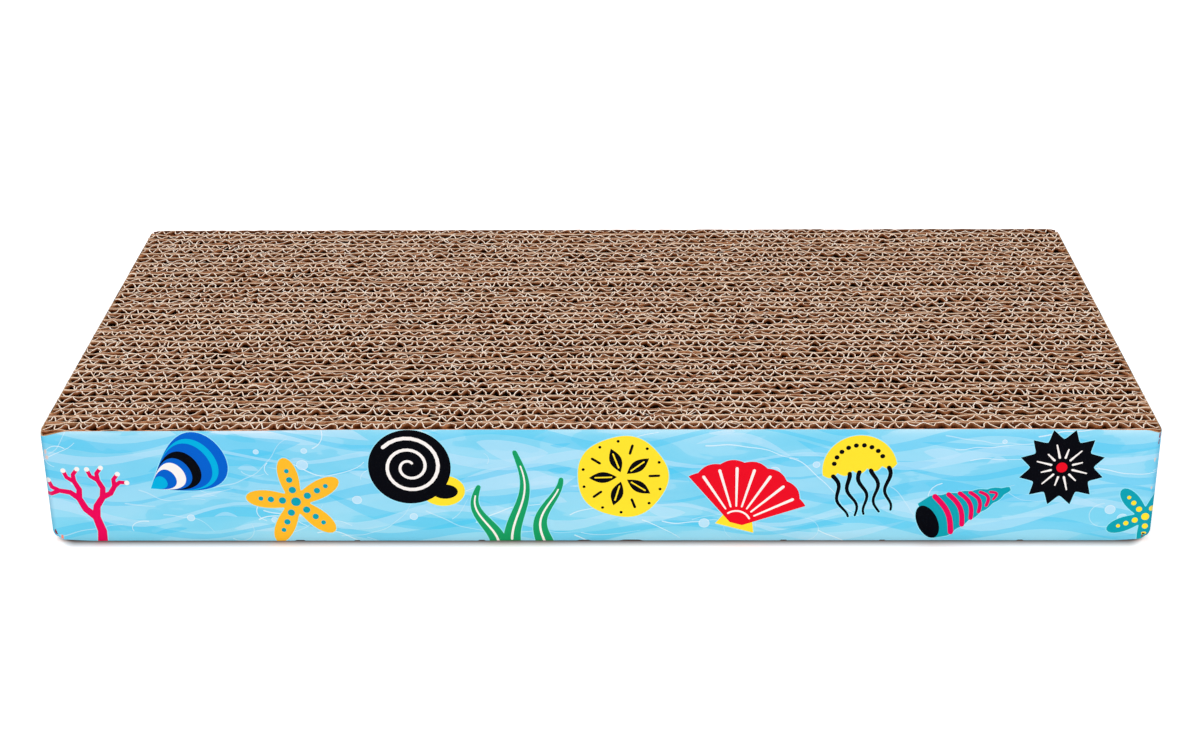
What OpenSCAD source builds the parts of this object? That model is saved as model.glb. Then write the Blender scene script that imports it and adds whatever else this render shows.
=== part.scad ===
// Cardboard cat scratcher: corrugated strips on edge, glued face to face inside a printed sleeve.
// The origin is at the centre of the underside, +X runs along the strips, -Y is the front and +Z is up.

/* [Pad] */
// Length over the sleeve, along the strips
pad_length = 440; // [360:5:500]
// Height of the strips, which stand on edge
pad_height = 50; // [36:1:70]

/* [Corrugated strips] */
// Number of strips from front to back
strip_count = 36; // [24:1:44]
// Thickness of the corrugated board over both liners
board_caliper = 5.95; // [4.5:0.05:7]
// Distance from one flute crest to the next
flute_pitch = 5.4; // [5:0.1:8]
// Paper thickness of each flat liner
liner_thickness = 0.25; // [0.15:0.05:0.4]
// Paper thickness of the fluted medium
medium_thickness = 0.2; // [0.12:0.02:0.3]
// Starch film between a flute crest and its liner
starch_film = 0.02; // [0.01:0.01:0.05]

/* [Glue] */
// Glue film between one strip and the next
strip_glue_film = 0.1; // [0.05:0.01:0.3]
// Height of one glue line on a strip
glue_line_height = 6; // [3:0.5:8]
// How far the glue lines between strips stop short of the strips' ends
glue_line_margin = 8; // [2:1:20]
// Glue film between the core and the sleeve
sleeve_glue_film = 0.2; // [0.1:0.05:0.4]

/* [Sleeve] */
// Thickness of the kraft band round the sides
sleeve_thickness = 0.8; // [0.5:0.1:1.5]
// How far the band's lower edge stops above the strips' undersides
sleeve_lift = 0.3; // [0.1:0.1:1]
// Gap where the band's two ends meet at the middle of the rear
butt_gap = 0.6; // [0.3:0.1:2]

/* [Printed facing] */
// Thickness of the printed paper
facing_thickness = 0.15; // [0.1:0.05:0.3]
// Paste between the printed paper and what it covers
paste_film = 0.02; // [0.01:0.01:0.05]
// How far the paper stops short of the band's upper and lower edges
facing_inset = 0.4; // [0.1:0.1:1]
// Length of the paper's overlap at the rear
lap_length = 20; // [10:1:40]
// Length over which the overlap climbs onto the layer below
lap_ramp = 3; // [1:0.5:6]

/* [Worn corners] */
// Length of the dip in the sleeve's top edge along the front
wear_along_front = 12; // [4:0.5:20]
// Length of the same dip along the side
wear_along_side = 7; // [3:0.5:15]
// Depth of the dip at the corner
wear_depth = 2.4; // [0.5:0.1:4]

/* [Hidden] */
$fn = 48;

// Inner radius of the band's folds as a share of its glue film: past 3.4 the core's corners would touch the folds
fold_share = 3;
// Heights of the glue lines' centres as shares of the pad's height
glue_height_shares = [0.25, 0.75];
// No crease comes nearer to a strip's end than this share of the flute pitch
end_crease_share = 0.06;
// Overrun of cuts past the faces that they open
overrun = 1;

band_skin = sleeve_glue_film + sleeve_thickness;
paper_step = paste_film + facing_thickness;
strip_length = pad_length - 2 * (band_skin + paper_step);
strip_spacing = board_caliper + strip_glue_film;
core_depth = strip_count * board_caliper + (strip_count - 1) * strip_glue_film;
pad_depth = core_depth + 2 * band_skin + 3 * paper_step;
core_front = -pad_depth / 2 + band_skin + paper_step;
core_middle = core_front + core_depth / 2;

// The fluted medium leans at the flank angle, so its thickness across the strip is more than the paper's
flute_height = board_caliper - 2 * (liner_thickness + starch_film);
medium_reach = medium_thickness * sqrt(1 + pow(2 * flute_height / flute_pitch, 2));
flute_rise = flute_height - medium_reach;

fold_radius = fold_share * sleeve_glue_film;
sleeve_bottom = sleeve_lift;
facing_bottom = sleeve_bottom + facing_inset;
facing_top = pad_height - facing_inset;

// Each strip is cut from a sheet at another place, so its flutes start at another share of their pitch
phase_shares = rands(0, 1, strip_count, 11);

function strip_name(row) = str("strip_", row < 10 ? "0" : "", row);
function strip_front(row) = core_front + (row - 1) * strip_spacing;

// Height of the flute wave, from 0 to 1, after a number of pitches
function wave_share(turns) = abs(2 * (turns - floor(turns)) - 1);

// Distances along the strip at which the medium is creased, with the strip's two ends
function crease_places(phase_share) = concat(
    [0],
    [
        for (half_turn = [0:2 * ceil(strip_length / flute_pitch) + 2])
        let (place = (half_turn / 2 - phase_share) * flute_pitch, margin = end_crease_share * flute_pitch)
        if (place > margin && place < strip_length - margin) place
    ],
    [strip_length]
);

function medium_edge(phase_share, offset) = [
    for (place = crease_places(phase_share))
    [place, offset + flute_rise * wave_share(place / flute_pitch + phase_share)]
];

function reversed(points) = [for (i = [len(points) - 1:-1:0]) points[i]];

module liner() {
    cube([strip_length, liner_thickness, pad_height]);
}

// The paper wave between the liners, drawn in plan and stood up
module fluted_medium(phase_share) {
    linear_extrude(pad_height)
    polygon(concat(
        medium_edge(phase_share, 0),
        reversed(medium_edge(phase_share, medium_reach))
    ));
}

module corrugated_strip(row) {
    color("burlywood")
    translate([-strip_length / 2, strip_front(row), 0]) {
        liner();
        translate([0, liner_thickness + starch_film, 0]) fluted_medium(phase_shares[row - 1]);
        translate([0, board_caliper - liner_thickness, 0]) liner();
    }
}

// Two lines of glue behind every strip but the last
module glue_lines() {
    color("ivory")
    for (row = [1:strip_count - 1], height_share = glue_height_shares)
    translate([
        glue_line_margin - strip_length / 2,
        strip_front(row) + board_caliper,
        height_share * pad_height - glue_line_height / 2
    ])
    cube([strip_length - 2 * glue_line_margin, strip_glue_film, glue_line_height]);
}

// A rectangle round the core, this much larger all round, with folded corners
module folded_plan(skin, radius) {
    length = strip_length + 2 * skin;
    depth = core_depth + 2 * skin;
    translate([0, core_middle]) {
        square([length - 2 * radius, depth], center = true);
        square([length, depth - 2 * radius], center = true);
        for (x_side = [-1, 1], y_side = [-1, 1])
        translate([x_side * (length / 2 - radius), y_side * (depth / 2 - radius)]) circle(radius);
    }
}

// A closed band of even thickness round the core, from one skin distance to another
module folded_band(inner_skin, outer_skin, bottom, top) {
    translate([0, 0, bottom])
    difference() {
        linear_extrude(top - bottom) folded_plan(outer_skin, fold_radius + outer_skin - sleeve_glue_film);
        translate([0, 0, -overrun])
        linear_extrude(top - bottom + 2 * overrun)
        folded_plan(inner_skin, fold_radius + inner_skin - sleeve_glue_film);
    }
}

// The half space above a plane that slopes down to a front corner, for the dip in the sleeve's top edge
module corner_dip(x_side, skin, top) {
    slope = [x_side / wear_along_front, -1 / wear_along_side, 1 / wear_depth];
    reach = 2 * (wear_along_front + wear_along_side + wear_depth);
    translate([x_side * (strip_length / 2 + skin), core_front - skin, top - wear_depth])
    rotate([0, acos(slope.z / norm(slope)), atan2(slope.y, slope.x)])
    translate([-reach / 2, -reach / 2, 0])
    cube(reach);
}

// Two lines of glue that run right round the core
module sleeve_glue() {
    color("ivory")
    for (height_share = glue_height_shares)
    translate([0, 0, height_share * pad_height - glue_line_height / 2])
    difference() {
        linear_extrude(glue_line_height) folded_plan(sleeve_glue_film, fold_radius);
        translate([-strip_length / 2, core_front, -overrun])
        cube([strip_length, core_depth, glue_line_height + 2 * overrun]);
    }
}

module sleeve_board() {
    color("peru")
    difference() {
        folded_band(sleeve_glue_film, band_skin, sleeve_bottom, pad_height);
        translate([-butt_gap / 2, core_middle, 0]) cube([butt_gap, core_depth, pad_height + overrun]);
        for (x_side = [-1, 1]) corner_dip(x_side, band_skin, pad_height);
    }
}

// The paper's end climbs over its own beginning at the rear, in plan from the covered layer outwards
module facing_lap() {
    rear = core_front + core_depth + band_skin + paste_film;
    lap_start = -lap_length / 2;
    translate([0, 0, facing_bottom])
    linear_extrude(facing_top - facing_bottom)
    polygon([
        [lap_start - 2 * lap_ramp, rear],
        [lap_start - lap_ramp, rear],
        [lap_start, rear + paper_step],
        [lap_start + lap_length, rear + paper_step],
        [lap_start + lap_length, rear + paper_step + facing_thickness],
        [lap_start, rear + paper_step + facing_thickness],
        [lap_start - lap_ramp, rear + facing_thickness],
        [lap_start - 2 * lap_ramp, rear + facing_thickness]
    ]);
}

module printed_facing() {
    outer_skin = band_skin + paper_step;
    color("skyblue") {
        difference() {
            folded_band(band_skin + paste_film, outer_skin, facing_bottom, facing_top);
            translate([-lap_length / 2 - lap_ramp, core_middle, 0]) cube([lap_ramp, core_depth, pad_height]);
            for (x_side = [-1, 1]) corner_dip(x_side, outer_skin, facing_top);
        }
        facing_lap();
    }
}

for (row = [1:strip_count]) corrugated_strip(row);
glue_lines();
sleeve_glue();
sleeve_board();
printed_facing();
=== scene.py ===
"""Cardboard cat scratcher: its corrugated strips and printed sleeve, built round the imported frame.

Lengths are in metres, except in the print, which is drawn in millimetres. Every piece is modelled where the
frame puts it: +X runs along the strips, -Y is the front and +Z is up.
"""
import random
from math import ceil, copysign, cos, hypot, pi, radians, sin, tau

import bmesh
import bpy
from mathutils import Matrix, Vector, noise
from mathutils.geometry import delaunay_2d_cdt


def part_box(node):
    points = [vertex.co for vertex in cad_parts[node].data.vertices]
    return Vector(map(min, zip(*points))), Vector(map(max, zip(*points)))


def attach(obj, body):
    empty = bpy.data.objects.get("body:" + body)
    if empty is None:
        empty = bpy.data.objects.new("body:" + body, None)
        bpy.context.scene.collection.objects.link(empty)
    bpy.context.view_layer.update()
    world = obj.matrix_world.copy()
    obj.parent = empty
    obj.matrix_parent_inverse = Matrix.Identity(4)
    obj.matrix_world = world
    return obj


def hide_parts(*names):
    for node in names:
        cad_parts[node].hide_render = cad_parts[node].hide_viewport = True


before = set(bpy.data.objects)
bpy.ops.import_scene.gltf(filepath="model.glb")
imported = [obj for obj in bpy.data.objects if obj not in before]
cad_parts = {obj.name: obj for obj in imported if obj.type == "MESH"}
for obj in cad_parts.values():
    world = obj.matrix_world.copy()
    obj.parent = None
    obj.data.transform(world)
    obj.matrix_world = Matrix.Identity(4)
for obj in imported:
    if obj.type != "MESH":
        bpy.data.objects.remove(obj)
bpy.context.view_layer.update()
MM = 0.001

# Places read from the frame
STRIPS = sorted(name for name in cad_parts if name.startswith("strip_"))
STRIP_BOXES = [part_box(name) for name in STRIPS]
BOARD_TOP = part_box("sleeve_board")[1].z
FACING_LOW, FACING_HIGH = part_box("printed_facing")
GLUE_LOW, GLUE_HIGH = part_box("glue_lines")
CORE_LOW, CORE_HIGH = STRIP_BOXES[0][0], STRIP_BOXES[-1][1]
PAD_HEIGHT = CORE_HIGH.z
CORE_MIDDLE_Y = (CORE_LOW.y + CORE_HIGH.y) / 2
HALF_DEPTH = (FACING_HIGH.y - FACING_LOW.y) / 2

# Liners and flutes fray to this thickness at their cut edges, and have this share of it inside the pad
CORE_PAPER = 0.42 * MM
SOUND_SHARE = 0.6
STRIP_GAP = 0.08 * MM
BOARD = 0.80 * MM
PAPER = 0.15 * MM
PASTE = 0.02 * MM
SLEEVE_GLUE = 0.20 * MM
FOLD_RADIUS = 0.60 * MM
FLUTE_PITCH = 5.4 * MM
LAP = 20 * MM
LAP_RAMP = 3 * MM
BUTT_GAP = 0.6 * MM

# Wear
# Dips in the sleeve's top edge at the left and right front corners, as length along the front, length along
# the side and depth, and the smaller dips at both rear corners
DIPS = ((12 * MM, 3.5 * MM, 2.2 * MM), (7 * MM, 3 * MM, 1.3 * MM))
REAR_DIP = (4.5 * MM, 4 * MM, 1.5 * MM)
# The lower corners are knocked round by this radius, less and less over this reach along the sides, where the
# sides' faces move in by this share of the rounding
CRUSH_RADIUS = 5.0 * MM
CRUSH_REACH = 14 * MM
CRUSH_SIDE_SHARE = 0.4
# How far round a fold the print is rubbed and takes painted shade, and how far round its ends it is rubbed
# off
FOLD_RUB = 3.0 * MM
FOLD_SHADE = 2.6 * MM
CORNER_RUB = 3.5 * MM
# How far the printed paper stops short of the band's edges
PAPER_INSET_ABOVE = 0.08 * MM
PAPER_INSET_BELOW = 0.06 * MM
# How much lower than the core the sleeve's top edge stands along the sides, and still lower along the rear
SIDE_STEP = 0.45 * MM
REAR_STEP = 0.35 * MM
# How far its bottom edge is off the floor, how much it rises towards the corners, and over what length
SLEEVE_LIFT = 0.1 * MM
END_RISE = 0.7 * MM
END_RISE_REACH = 17 * MM


def srgb(red, green, blue, cover=1.0):
    """A colour given as it looks on a screen, from 0 to 255, as linear numbers with how much it covers."""
    def linear(value):
        share = value / 255
        return share / 12.92 if share <= 0.04045 else ((share + 0.055) / 1.055) ** 2.4
    return linear(red), linear(green), linear(blue), cover


def smooth(share):
    share = min(1.0, max(0.0, share))
    return share * share * (3 - 2 * share)


def mix(low, high, share):
    return low + (high - low) * share


def steps(count):
    """Even steps from 0 to 1, with both ends."""
    return [i / count for i in range(count + 1)]


def waver(*spot):
    """Smooth noise of about -1 to 1 at a spot given as three numbers."""
    return noise.noise(Vector(spot))


def from_corner(point):
    """Distance in plan from the nearest corner of the pad."""
    return hypot(FACING_HIGH.x - abs(point.x), HALF_DEPTH - abs(point.y))


def crushed(point):
    """The pad's lower corners are knocked round: a point there moves in and up, and no other moves."""
    x, y, z = point
    inward, inset = FACING_HIGH.x - abs(x), HALF_DEPTH - abs(y)
    if inward > CRUSH_RADIUS or z > CRUSH_RADIUS or inset > CRUSH_REACH:
        return point
    across, up = CRUSH_RADIUS - inward, CRUSH_RADIUS - z
    longest = max(across, up)
    if longest <= 0:
        return point
    share = smooth(1 - inset / CRUSH_REACH) * (1 - longest / hypot(across, up))
    return Vector((
        x - copysign(across * share, x),
        y - copysign(CRUSH_SIDE_SHARE * longest * share, y),
        z + up * share,
    ))


# Corrugated core

SEAM_RANDOM = random.Random(905)
SEAM_OFFSETS = [SEAM_RANDOM.uniform(-0.32, 0.32) * MM for _ in STRIPS]
# How the seams waver: how far, how often in a metre, and the noise's step from seam to seam and its start
SEAM_WAVERS = ((0.75 * MM, 11, 5.3, 0.7), (0.6 * MM, 75, 3.1, 8.2), (0.3 * MM, 210, 4.7, 3.9))


def boundary(index, x):
    """The y at which strip number index, counted from 0, begins: the seams waver, as if pressed by hand."""
    if index == 0:
        return CORE_LOW.y
    if index == len(STRIPS):
        return CORE_HIGH.y
    depth = (STRIP_BOXES[index - 1][1].y + STRIP_BOXES[index][0].y) / 2 + SEAM_OFFSETS[index]
    for far, bends, step, start in SEAM_WAVERS:
        depth += far * waver(x * bends, index * step, start)
    return depth


def sheet_grid(columns, levels):
    """A flat grid as a bmesh, with a table of its vertices by column and level."""
    bm = bmesh.new()
    bmesh.ops.create_grid(bm, x_segments=columns, y_segments=levels, size=0.5)
    places = {}
    for vert in bm.verts:
        column = round((vert.co.x + 0.5) * columns)
        level = round((vert.co.y + 0.5) * levels)
        places[column, level] = vert
    return bm, places


# How deep the cut edges are frayed, how far they lean and how much they lose, and how far the flutes' lean
FRAY_DEPTH = 2.0 * MM
FRAY_SHIFT = 0.42 * MM
FRAY_DROP = 0.55 * MM
FLUTE_SHIFT = 1.0 * MM
# How much further the liners are torn down, and how far two liners spread apart at a seam
FRONT_LINER_TORN = 0.9 * MM
LINER_TORN = 0.7 * MM
SEAM_OPEN = 0.95 * MM
# How far cut edges lie out over the sleeve's edge, and from how far inside it
FLARE = 0.62 * MM
FLARE_REACH = 2.2 * MM
SHEET_LEVELS = (0.0, FRAY_DEPTH, PAD_HEIGHT - FRAY_DEPTH, PAD_HEIGHT)


def untorn(_):
    return 0.0


def pressed_down(x, dip_sizes):
    """How far a dip of the sleeve at a corner presses the papers beside it down."""
    length, _, depth = dip_sizes
    return depth * smooth(1 - (FACING_HIGH.x - abs(x)) / length)


def front_sink(x):
    return pressed_down(x, DIPS[x > 0])


def rear_sink(x):
    return pressed_down(x, REAR_DIP)


def front_liner_tear(x):
    """How much the front liner has lost along its cut edges: least where a dip shows them."""
    sink = front_sink(x)
    return max(0.75 * sink, FRONT_LINER_TORN - 0.7 * sink)


def torn_stretches(seed):
    """A tear for one liner: stretches of its cut edges are torn further down than the rest."""
    def tear(x):
        return LINER_TORN * smooth((waver(x * 95, seed, 1.7) - 0.02) / 0.3)
    return tear


def flared(x, y, wild, across):
    """Moves a cut edge at the core's ends out over the sleeve's edge, and if across is true, at its front."""
    reach = FLARE * min(1.0, 0.45 + 1.5 * abs(wild))
    x += copysign(reach * smooth(1 - (CORE_HIGH.x - abs(x)) / FLARE_REACH), x)
    if across:
        y -= reach * smooth(1 - (y - CORE_LOW.y) / FLARE_REACH)
    return x, y


def seam_opening(index, x):
    """How far the cut edges of the two liners at a seam have spread apart."""
    if index in (0, len(STRIPS)):
        return 0.0
    spread = waver(x * 48, index * 2.9, 6.1)
    return SEAM_OPEN * smooth((spread + 0.12) / 0.4)


def stand_sheet(path, seed, tear=untorn, shift=FRAY_SHIFT, slot=0):
    """A sheet of paper on edge along a path of (x, y inside, y at the cut edges), with ragged cut edges.

    Tear gives how much more than others it has lost along its cut edges at an x, and shift how far they lean.
    """
    last = len(SHEET_LEVELS) - 1
    bm, places = sheet_grid(len(path) - 1, last)
    for (column, level), vert in places.items():
        x, y, cut_y = path[column]
        z = SHEET_LEVELS[level]
        if level in (0, last):
            side, y = 1 if level else -1, cut_y
            spot = Vector((x * 420, y * 420, seed + side * 3.1))
            wild = noise.noise(spot)
            x, y = flared(x, y, wild, slot == FLUTE_SLOT)
            x += shift * wild
            y += shift * noise.noise(spot + Vector((31, 7, 0)))
            fine = abs(noise.noise(spot * 2.3 + Vector((3, 11, 5))))
            broad = abs(noise.noise(spot * 0.21 + Vector((8, 2, 9))))
            z -= side * (FRAY_DROP * (0.65 * fine + 0.7 * broad) + tear(x) * (0.6 + 1.2 * broad))
        vert.co = crushed(Vector((x, y, z)))
    for face in bm.faces:
        face.material_index = slot
    return bm


LEG_STEPS = 7
# The share of crests that stop short of their liner, and by which share of the flute's height
SHORT_CRESTS = 0.16
SHORT_BY = (0.05, 0.4)
# How much the flutes are squeezed together and drawn apart along a strip
SQUEEZE = 0.30
# The legs between crests: the spread of their lengths, the least length, the spread of their bow, and how
# round they are, from a straight line at 0 to a wave at 1 and past it
LEG_SPREAD = 0.2
LEAST_LEG = 0.35
LEG_BOW = 0.11
LEG_ROUNDNESS = (0.45, 1.25)


def flute_crests(rng, length):
    """One strip's crests, as places along the strip and heights from 0 to 1 across it."""
    crests = []
    place = -rng.random() * FLUTE_PITCH
    row = rng.uniform(0, 50)
    top = rng.random() < 0.5
    while place < length + FLUTE_PITCH:
        short = 0.0
        if rng.random() < SHORT_CRESTS:
            short = rng.uniform(*SHORT_BY)
        crests.append((place, 1 - short if top else short))
        squeeze = 1 + SQUEEZE * waver(place * 24, row, 2.5)
        place += FLUTE_PITCH / 2 * squeeze * max(LEAST_LEG, rng.gauss(1, LEG_SPREAD))
        top = not top
    return crests


def flute_path(rng, length):
    """The medium's centreline as (x, share across the strip) from one end of the strip to the other.

    Each leg between two crests is more or less of a wave and has its own bow.
    """
    crests = flute_crests(rng, length)
    path = []
    for (x0, y0), (x1, y1) in zip(crests, crests[1:]):
        bow, roundness = rng.gauss(0, LEG_BOW), rng.uniform(*LEG_ROUNDNESS)
        for t in steps(LEG_STEPS)[:-1]:
            wave = (1 - cos(pi * t)) / 2
            along, across = t + bow * sin(pi * t), mix(t, wave, roundness)
            path.append((mix(x0, x1, along), mix(y0, y1, across)))
    inside = [(x, share) for x, share in path if 0.2 * MM < x < length - 0.2 * MM]
    return [(0.0, inside[0][1]), *inside, (length, inside[-1][1])]


def liner_path(index, inward):
    """A liner's path beside a seam: inward is +1 behind the seam and -1 in front of it."""
    start, end = CORE_LOW.x, CORE_HIGH.x
    path = []
    for t in steps(round((end - start) / (FLUTE_PITCH / 3))):
        x = mix(start, end, t)
        y = boundary(index, x) + inward * (STRIP_GAP + CORE_PAPER) / 2
        path.append((x, y, y + inward * seam_opening(index, x) / 2))
    return path


def join_into(target, source):
    """Adds one bmesh to another and frees it."""
    mesh = bpy.data.meshes.new("part")
    source.to_mesh(mesh)
    source.free()
    target.from_mesh(mesh)
    bpy.data.meshes.remove(mesh)


def link(name, bm, materials):
    mesh = bpy.data.meshes.new(name)
    bm.to_mesh(mesh)
    bm.free()
    for material in materials:
        mesh.materials.append(material)
    piece = bpy.data.objects.new(name, mesh)
    bpy.context.scene.collection.objects.link(piece)
    return piece


def thicken(piece, thickness, rim_slot=0, thick=None, thin_share=1.0):
    """Gives a sheet its paper thickness, half to each side. Its cut edges take the material in rim_slot.

    Where some vertices are given as thick, all others have a share of the thickness.
    """
    solid = piece.modifiers.new("paper", "SOLIDIFY")
    solid.thickness = thickness
    solid.offset = 0
    solid.use_even_offset = False
    solid.use_rim = True
    solid.material_offset_rim = rim_slot
    if thick:
        piece.vertex_groups.new(name="thick").add(thick, 1, "REPLACE")
        solid.vertex_group = "thick"
        solid.thickness_vertex_group = thin_share


FLUTE_SLOT = 2
# The slot of the rear liner, painted dark as the shade in the gap between the core and the band
SHADED_REAR_LINER_SLOT = 4


def corrugated_strip(index, materials):
    """Strip number index, counted from 0 at the front: two liners and the fluted medium between them."""
    rng = random.Random(4000 + index)
    seed = index * 6.7
    start = CORE_LOW.x
    length = CORE_HIGH.x - start
    clear = STRIP_GAP / 2 + 1.5 * CORE_PAPER
    front_tear, rear_tear, rear_slot = torn_stretches(seed), torn_stretches(seed + 1.9), 0
    sunk = untorn
    if index == 0:
        front_tear, sunk = front_liner_tear, front_sink
    elif index + 1 == len(STRIPS):
        rear_tear, rear_slot, sunk = rear_sink, SHADED_REAR_LINER_SLOT, rear_sink
    whole = stand_sheet(liner_path(index, 1), seed, front_tear)
    join_into(whole, stand_sheet(liner_path(index + 1, -1), seed + 1.9, rear_tear, slot=rear_slot))
    medium = []
    for along, share in flute_path(rng, length):
        x = start + along
        front, rear = boundary(index, x) + clear, boundary(index + 1, x) - clear
        cut_front, cut_rear = front + seam_opening(index, x) / 2, rear - seam_opening(index + 1, x) / 2
        medium.append((x, mix(front, rear, share), mix(cut_front, cut_rear, share)))
    join_into(whole, stand_sheet(medium, seed + 3.7, lambda x: 0.4 * sunk(x), FLUTE_SHIFT, FLUTE_SLOT))
    piece = link(f"core_{STRIPS[index]}", whole, materials)
    frayed = [v.index for v in piece.data.vertices if not FRAY_DEPTH / 2 < v.co.z < PAD_HEIGHT - FRAY_DEPTH]
    thicken(piece, CORE_PAPER, 1, frayed, SOUND_SHARE)
    return piece


# Torn slivers: how many, how thick, and the least, the most and the usual of their angles to the strips in
# degrees and of their lengths, widths and depths in millimetres. A share of them are scabs, short and broad.
FLAKE_COUNT = 3000
FLAKE = 0.12 * MM
FLAKE_ANGLES = (8, 82, 40)
FLAKE_LENGTHS = (1.2, 5.0, 2.4)
FLAKE_WIDTHS = (0.26, 0.5)
FLAKE_DEPTHS = (0.1, 0.8)
SCAB_SHARE = 0.4
SCAB_LENGTHS = (0.7, 1.6)
SCAB_WIDTHS = (0.5, 0.85)
SCAB_DEPTH = 0.1 * MM


def torn_flakes(materials):
    """Slivers that the saw tore from the cut edges: each is rooted in a liner and lies out over the cells."""
    rng = random.Random(77)
    whole = bmesh.new()
    for number in range(FLAKE_COUNT):
        index = rng.randrange(1, len(STRIPS))
        root_x = rng.uniform(CORE_LOW.x + 3 * MM, CORE_HIGH.x - 3 * MM)
        way = rng.choice((-1, 1)) * radians(rng.triangular(*FLAKE_ANGLES))
        if rng.random() < 0.5:
            way += pi
        length, width = rng.triangular(*FLAKE_LENGTHS) * MM, rng.uniform(*FLAKE_WIDTHS) * MM
        bow, sink = rng.uniform(-0.2, 0.2) * length, rng.uniform(*FLAKE_DEPTHS) * MM
        if rng.random() < SCAB_SHARE:
            length, width = rng.uniform(*SCAB_LENGTHS) * MM, rng.uniform(*SCAB_WIDTHS) * MM
            sink = SCAB_DEPTH
        along, across = Vector((cos(way), sin(way))), Vector((-sin(way), cos(way)))
        root = Vector((root_x, boundary(index, root_x)))
        bm, places = sheet_grid(3, 1)
        for (column, side), vert in places.items():
            share = column / 3
            half = width / 2 * (1 - 0.6 * share) * (1 if side else -1)
            spot = root + along * length * share + across * (half + bow * sin(pi * share))
            drop = FLAKE + sink * (1 - sin(pi * mix(0.3, 0.95, share)))
            vert.co = (spot.x, spot.y, PAD_HEIGHT - drop if number % 3 else drop)
        join_into(whole, bm)
    piece = link("core_torn_flakes", whole, materials)
    thicken(piece, FLAKE)
    return piece


# Sleeve

class BandPlan:
    """The folded band's plan at a distance outside the core, walked from the rear's middle towards -X."""

    def __init__(self, skin):
        self.half_x = CORE_HIGH.x + skin
        self.half_y = (CORE_HIGH.y - CORE_LOW.y) / 2 + skin
        self.radius = FOLD_RADIUS + skin - SLEEVE_GLUE
        self.straight_x = 2 * (self.half_x - self.radius)
        self.straight_y = 2 * (self.half_y - self.radius)
        self.arc = self.radius * pi / 2
        self.length = 2 * (self.straight_x + self.straight_y) + 4 * self.arc

    def panels(self):
        """Each flat stretch of the walk as its length, start point, direction and outward normal.

        A fold is given as its length, centre, None and the angle that it starts from.
        """
        x, y, r = self.half_x, self.half_y, self.radius
        return [
            (self.straight_x / 2, Vector((0, y)), Vector((-1, 0)), Vector((0, 1))),
            (self.arc, Vector((-x + r, y - r)), None, 90),
            (self.straight_y, Vector((-x, y - r)), Vector((0, -1)), Vector((-1, 0))),
            (self.arc, Vector((-x + r, -y + r)), None, 180),
            (self.straight_x, Vector((-x + r, -y)), Vector((1, 0)), Vector((0, -1))),
            (self.arc, Vector((x - r, -y + r)), None, 270),
            (self.straight_y, Vector((x, -y + r)), Vector((0, 1)), Vector((1, 0))),
            (self.arc, Vector((x - r, y - r)), None, 0),
            (self.straight_x / 2, Vector((x - r, y)), Vector((-1, 0)), Vector((0, 1))),
        ]

    def at(self, walk):
        """The point and outward normal after a walk."""
        walk = walk % self.length
        for length, start, way, out in self.panels():
            if walk <= length + 1e-9:
                break
            walk -= length
        if way is None:
            angle = radians(out) + min(walk, length) / self.radius
            out = Vector((cos(angle), sin(angle)))
            place = start + out * self.radius
        else:
            place = start + way * walk
        return Vector((place.x, place.y + CORE_MIDDLE_Y)), out

    def folds(self):
        """Walks at which the four folds start and end."""
        found, walk = [], 0.0
        for length, _, way, _ in self.panels():
            if way is None:
                found.append((walk, walk + length))
            walk += length
        return found


def dip(place):
    """How far the sleeve's top edge has sunk at a point of its plan: only at its corners."""
    sizes, inset = DIPS[place.x > 0], place.y - FACING_LOW.y
    if place.y > 0:
        sizes, inset = REAR_DIP, FACING_HIGH.y - place.y
    length, along_side, depth = sizes
    return depth * smooth(1 - (FACING_HIGH.x - abs(place.x)) / length - inset / along_side)


# How far the sleeve's edges waver, at the front's top edge and elsewhere
FRONT_WAVER = 0.08 * MM
EDGE_WAVER = 0.35 * MM
# The front's top edge is highest round this place, falls off beyond this distance on either side and, over
# this length, sinks by this much
BOW_MIDDLE = 35 * MM
BOW_FLAT = 130 * MM
BOW_LENGTH = 50 * MM
FRONT_BOW = 0.5 * MM
# The length over which the top edge steps down beside the front, and again before the rear
STEP_REACH = 6 * MM
# Lines of points round a fold, and the distances from it at which there are more
FOLD_STEPS = 6
FOLD_NEIGHBOURS = [reach * MM for reach in (0.7, 1.4, 2.1, 2.9, 3.8, 5, 6.5, 9, 12, 15)]


def edge_waver(walk, seed):
    """Unevenness of the sleeve's edges, from 0 to 1."""
    slow = waver(walk * 9, seed, 0.3)
    fine = waver(walk * 60, seed, 4.4)
    return min(1.0, max(0.0, 0.5 + 0.8 * slow + 0.25 * fine))


def board_edges(place, walk):
    """Lower and upper edge of the band at a point of its plan."""
    corner_rise = END_RISE * smooth(1 - from_corner(place) / END_RISE_REACH)
    low = SLEEVE_LIFT + EDGE_WAVER * edge_waver(walk, seed=21.0) / 2 + corner_rise
    uneven = edge_waver(walk, seed=35.0)
    bow = FRONT_BOW * smooth((abs(place.x - BOW_MIDDLE) - BOW_FLAT) / BOW_LENGTH)
    beside = smooth((place.y - FACING_LOW.y) / STEP_REACH)
    step = mix(bow + FRONT_WAVER * uneven, SIDE_STEP + EDGE_WAVER * uneven, beside)
    step += REAR_STEP * smooth(1 - (FACING_HIGH.y - place.y) / STEP_REACH)
    return low, BOARD_TOP - dip(place) - step


def walks(plan, start, end, step):
    """Walks from start to end: every step on the flats and closer round the folds."""
    found = {round(mix(start, end, t), 7) for t in steps(ceil((end - start) / step))}
    for turn in (-1, 0, 1):
        for first, last in plan.folds():
            near = [mix(first, last, t) for t in steps(FOLD_STEPS)]
            near += [first - reach for reach in FOLD_NEIGHBOURS]
            near += [last + reach for reach in FOLD_NEIGHBOURS]
            near = [walk + turn * plan.length for walk in near]
            found |= {round(walk, 7) for walk in near if start < walk < end}
    return sorted(found)


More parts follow.
